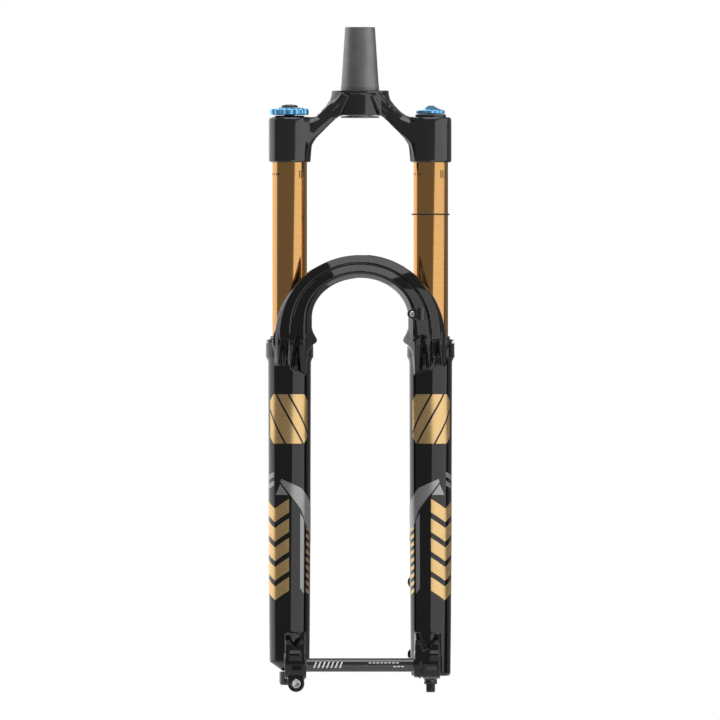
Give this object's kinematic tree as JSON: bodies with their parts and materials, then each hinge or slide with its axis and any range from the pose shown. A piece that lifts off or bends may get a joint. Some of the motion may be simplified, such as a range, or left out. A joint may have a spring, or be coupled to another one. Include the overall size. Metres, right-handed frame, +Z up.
{
  "type": "bicycle suspension fork",
  "caption": "Single-crown telescopic suspension fork with tapered steerer, arched lower legs, bolt-through axle and damper knobs.",
  "frame": {"origin": "on the steerer axis in the plane of the crown race seat", "axes": "+Z up the steerer, front of the fork towards -Y, disc brake side towards +X"},
  "size_m": [0.1938, 0.0956, 0.682],
  "materials": {
    "gloss_black_paint": "gloss black paint over cast magnesium and forged aluminium",
    "black_anodised": "black anodised, satin",
    "black_plastic": "black moulding",
    "gold_anodised": "amber-gold hard coating, polished",
    "grey_alloy": "matt grey, bead blasted",
    "blue_anodised": "bright blue anodised",
    "steel": "plated or polished steel",
    "brass": "turned",
    "bushing_bronze": "coated bronze bushing",
    "rubber": "nitrile rubber",
    "foam": "oil-soaked open foam",
    "orange_plastic": "orange moulding"
  },
  "bodies": {
    "upper_assembly": {"steerer_tube": "grey_alloy", "crown": "gloss_black_paint", "stanchion_damper_side": "gold_anodised", "stanchion_air_side": "gold_anodised", "air_top_cap": "black_anodised", "air_valve_body": "brass", "volume_spacer_1": "orange_plastic", "volume_spacer_2": "orange_plastic", "air_seal_head": "black_plastic", "seal_head_ring": "steel", "damper_top_cap": "black_anodised", "damper_cartridge": "steel", "compression_rod": "steel", "base_valve": "steel", "damper_seal_head": "black_plastic", "floating_piston_spring": "steel"},
    "lower_assembly": {"lower_casting": "gloss_black_paint", "wiper_seal_damper_side": "rubber", "wiper_seal_air_side": "rubber", "wiper_spring_damper_side": "steel", "wiper_spring_air_side": "steel", "foam_ring_damper_side": "foam", "foam_ring_air_side": "foam", "upper_bushing_damper_side": "bushing_bronze", "upper_bushing_air_side": "bushing_bronze", "lower_bushing_damper_side": "bushing_bronze", "lower_bushing_air_side": "bushing_bronze", "air_shaft": "steel", "air_piston": "black_plastic", "air_piston_seal": "rubber", "top_out_bumper": "rubber", "bottom_out_bumper": "rubber", "air_foot_washer": "steel", "air_foot_nut": "black_anodised", "damper_shaft": "steel", "rebound_piston": "steel", "damper_foot_bolt": "black_anodised", "damper_foot_washer": "steel", "floating_axle_sleeve": "steel", "pinch_bolt": "steel", "hose_guide": "black_anodised", "hose_guide_bolt": "steel", "bleeder_body_damper_side": "black_anodised", "bleeder_body_air_side": "black_anodised"},
    "axle": {"thru_axle": "black_anodised"},
    "high_speed_knob": {"high_speed_compression_knob": "blue_anodised"},
    "low_speed_knob": {"low_speed_compression_knob": "black_anodised", "compression_knob_screw": "steel"},
    "rebound_adjuster": {"rebound_knob": "black_anodised", "rebound_rod": "steel"},
    "valve_cap": {"air_valve_cap": "blue_anodised"},
    "valve_pin": {"air_valve_pin": "brass"},
    "travel_marker": {"sag_o_ring": "rubber"},
    "ifp": {"floating_piston": "black_plastic"},
    "bleeder_damper": {"bleeder_button_damper_side": "steel"},
    "bleeder_air": {"bleeder_button_air_side": "steel"}
  },
  "joints": [
    {"name": "fork_travel", "type": "slide", "parent": "upper_assembly", "child": "lower_assembly", "axis": [0, 0, 1], "range_m": [0, 0.17], "stiffness_N_per_m": 4000, "springref_m": -0.02},
    {"name": "axle_withdrawal", "type": "slide", "parent": "lower_assembly", "child": "axle", "axis": [-1, 0, 0], "range_m": [0, 0.15]},
    {"name": "high_speed_compression_turn", "type": "hinge", "parent": "upper_assembly", "child": "high_speed_knob", "pos_m": [-0.0723, -0.014, -0.0216], "axis": [0, 0, 1], "range_deg": [-120, 120]},
    {"name": "low_speed_compression_turn", "type": "hinge", "parent": "upper_assembly", "child": "low_speed_knob", "pos_m": [-0.0723, -0.014, -0.0176], "axis": [0, 0, 1], "range_deg": [-150, 150]},
    {"name": "rebound_turn", "type": "hinge", "parent": "lower_assembly", "child": "rebound_adjuster", "pos_m": [-0.0723, -0.014, -0.6025], "axis": [0, 0, 1], "range_deg": [-170, 170]},
    {"name": "valve_cap_removal", "type": "slide", "parent": "upper_assembly", "child": "valve_cap", "axis": [0, 0, 1], "range_m": [0, 0.02]},
    {"name": "valve_pin_press", "type": "slide", "parent": "upper_assembly", "child": "valve_pin", "axis": [0, 0, -1], "range_m": [0, 0.0012], "stiffness_N_per_m": 300, "springref_m": -0.002},
    {"name": "travel_marker_slide", "type": "slide", "parent": "upper_assembly", "child": "travel_marker", "axis": [0, 0, 1], "range_m": [0, 0.048]},
    {"name": "floating_piston_travel", "type": "slide", "parent": "upper_assembly", "child": "ifp", "axis": [0, 0, 1], "range_m": [0, 0.034], "deforming": ["floating_piston_spring"]},
    {"name": "bleeder_press_damper_side", "type": "slide", "parent": "lower_assembly", "child": "bleeder_damper", "axis": [0, -1, 0], "range_m": [0, 0.0014], "stiffness_N_per_m": 300, "springref_m": -0.002},
    {"name": "bleeder_press_air_side", "type": "slide", "parent": "lower_assembly", "child": "bleeder_air", "axis": [0, -1, 0], "range_m": [0, 0.0014], "stiffness_N_per_m": 300, "springref_m": -0.002}
  ],
  "couplings": [
    {"joint": "travel_marker_slide", "follows": "fork_travel", "ratio": 0.28},
    {"joint": "floating_piston_travel", "follows": "fork_travel", "ratio": 0.195}
  ]
}
